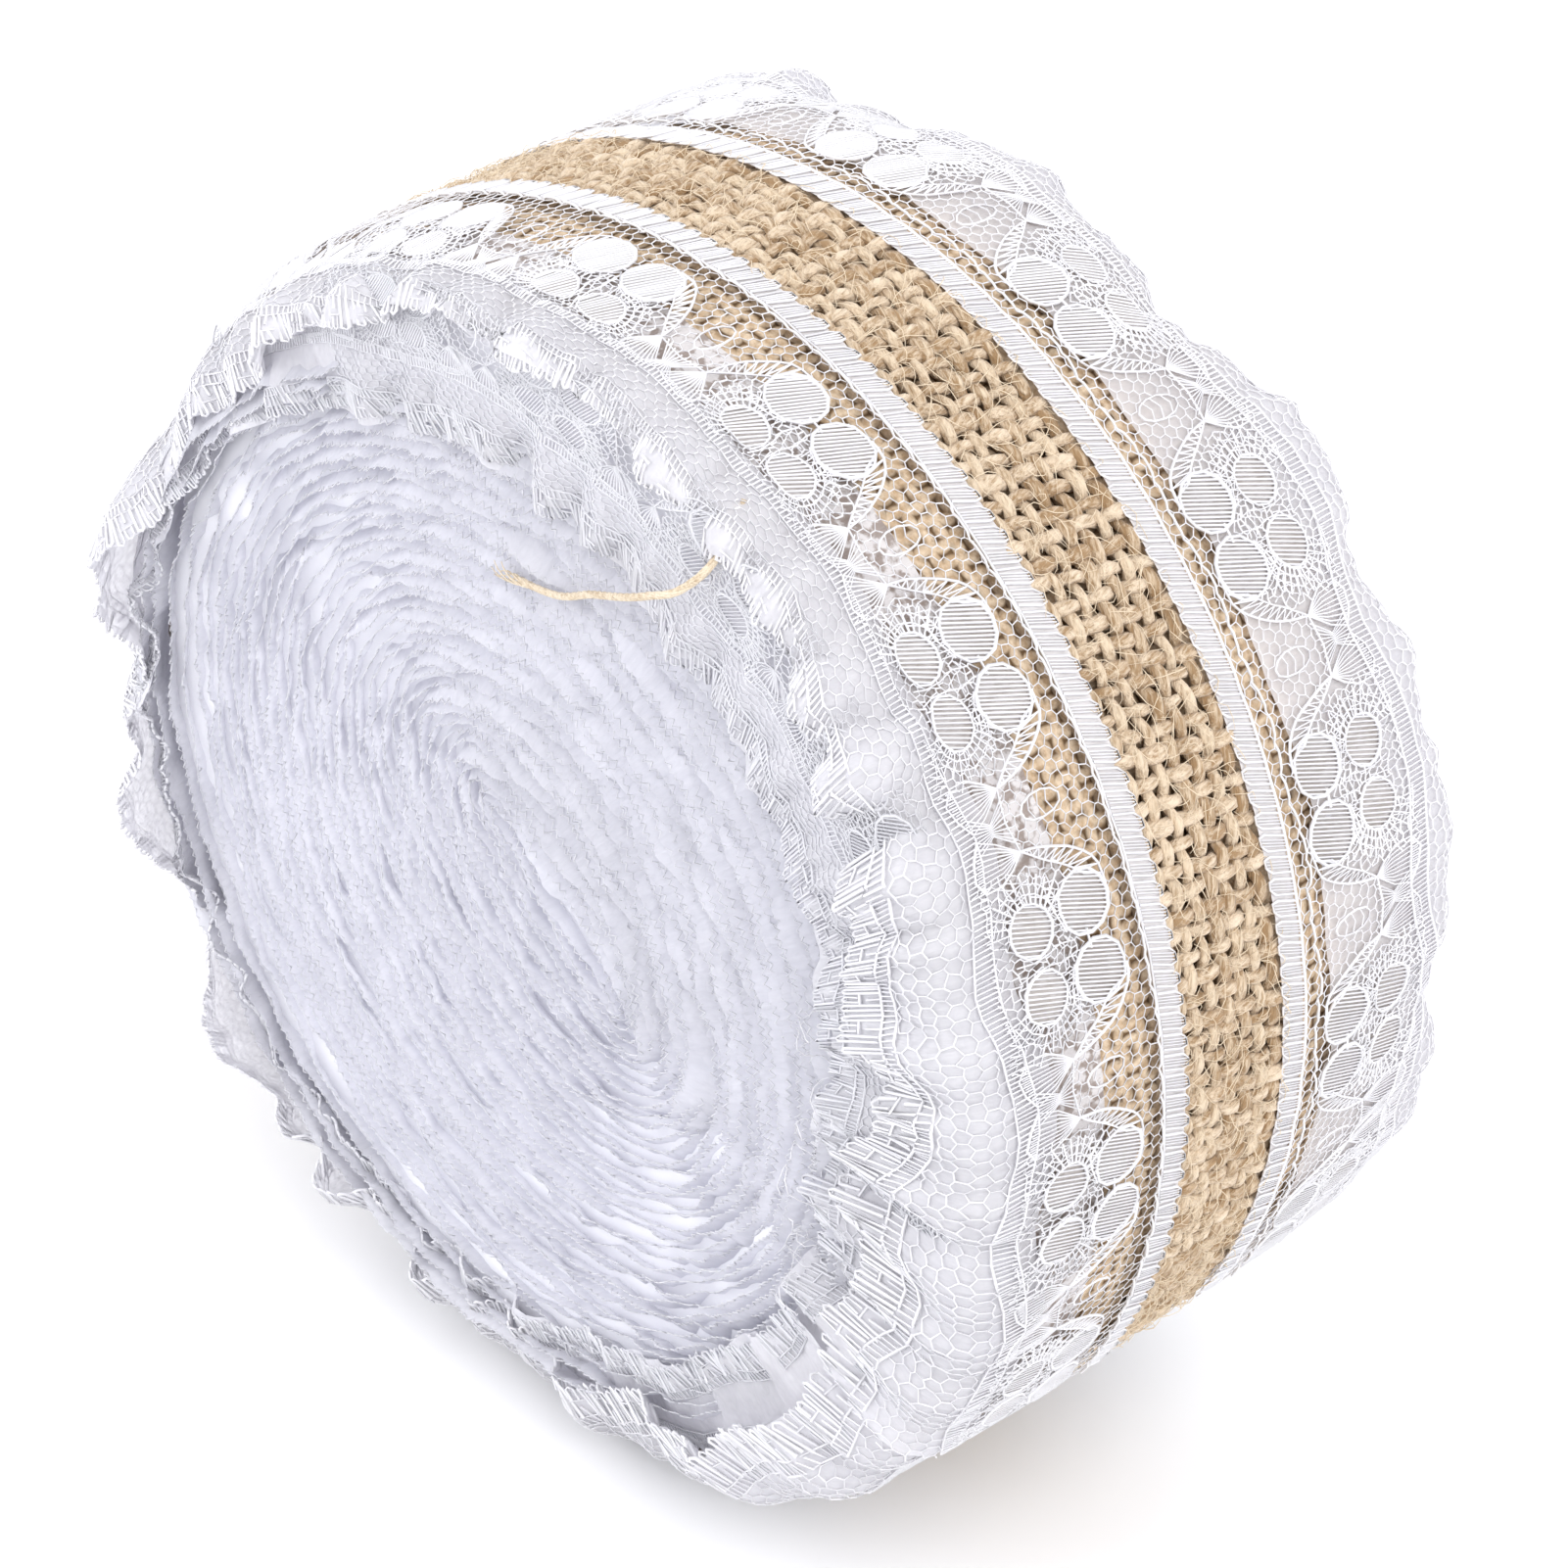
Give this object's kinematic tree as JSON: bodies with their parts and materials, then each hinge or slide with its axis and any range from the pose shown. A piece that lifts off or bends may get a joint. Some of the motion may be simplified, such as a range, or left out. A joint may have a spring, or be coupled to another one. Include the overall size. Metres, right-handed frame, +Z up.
{
  "type": "roll of lace-edged hessian ribbon",
  "caption": "Wound roll of hessian ribbon edged on each side with scalloped white lace that curls over the faces, standing on its rim on a small flat spot.",
  "frame": {"origin": "middle of the small flat spot under the roll, halfway between its two faces", "axes": "+Z up, +Y along the roll's axis from the near face to the far face, +X to the right seen from the near face"},
  "size_m": [0.1252, 0.076, 0.1224],
  "materials": {
    "hessian": "plain-woven natural jute, hairy and matt",
    "lace_white": "white knitted lace thread, soft sheen",
    "yarn": "twisted jute yarn, pale straw, frayed"
  },
  "bodies": {
    "root": {"hessian_roll": "hessian", "lace_near": "lace_white", "lace_far": "lace_white", "yarn_end": "yarn"}
  },
  "joints": []
}
